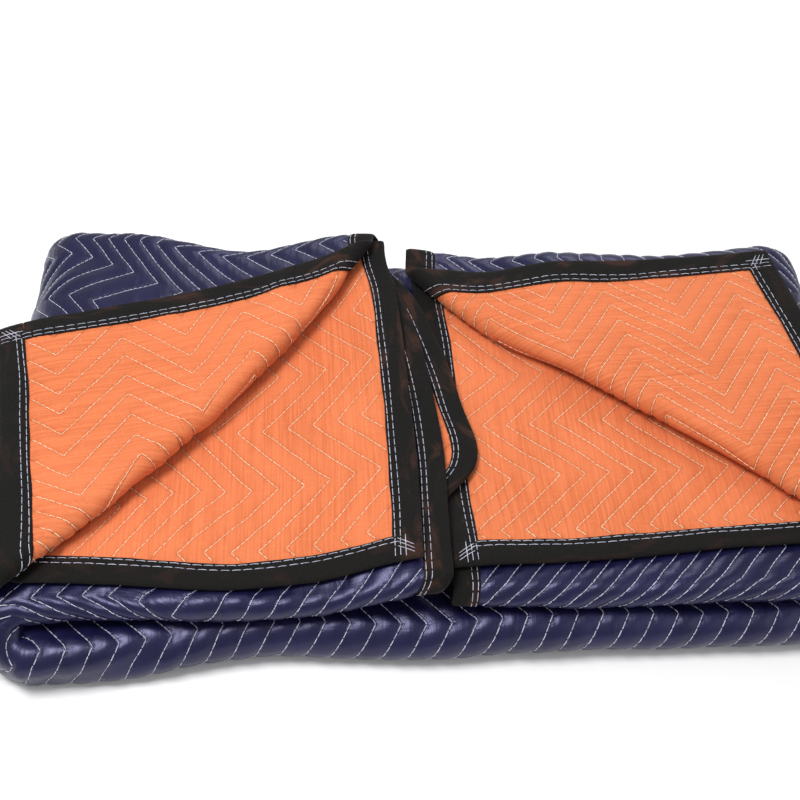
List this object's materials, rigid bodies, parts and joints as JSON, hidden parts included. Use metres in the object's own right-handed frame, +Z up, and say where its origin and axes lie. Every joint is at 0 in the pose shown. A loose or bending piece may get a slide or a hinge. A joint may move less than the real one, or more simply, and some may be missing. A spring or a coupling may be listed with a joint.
{
  "type": "folded quilted moving blanket",
  "caption": "Two-sided quilted pad with bound edges, folded back and forth into layers with both ends brought over the top and two corners turned back.",
  "frame": {"origin": "on the surface that the folded blanket lies on, under the middle of its outer box", "axes": "+X along the fold lines to the right end, +Y from the fanned front to the back fold, +Z up"},
  "size_m": [0.9578, 0.6009, 0.1275],
  "materials": {
    "navy_cloth": "crinkled quilted cloth with a soft sheen",
    "orange_cloth": "plain woven quilted cloth",
    "binding_cloth": "matt woven tape"
  },
  "bodies": {
    "root": {"navy_face_panel": "navy_cloth", "orange_backing_panel": "orange_cloth", "first_edge_binding": "binding_cloth", "last_edge_binding": "binding_cloth", "left_end_binding": "binding_cloth", "right_end_binding": "binding_cloth"}
  },
  "joints": []
}
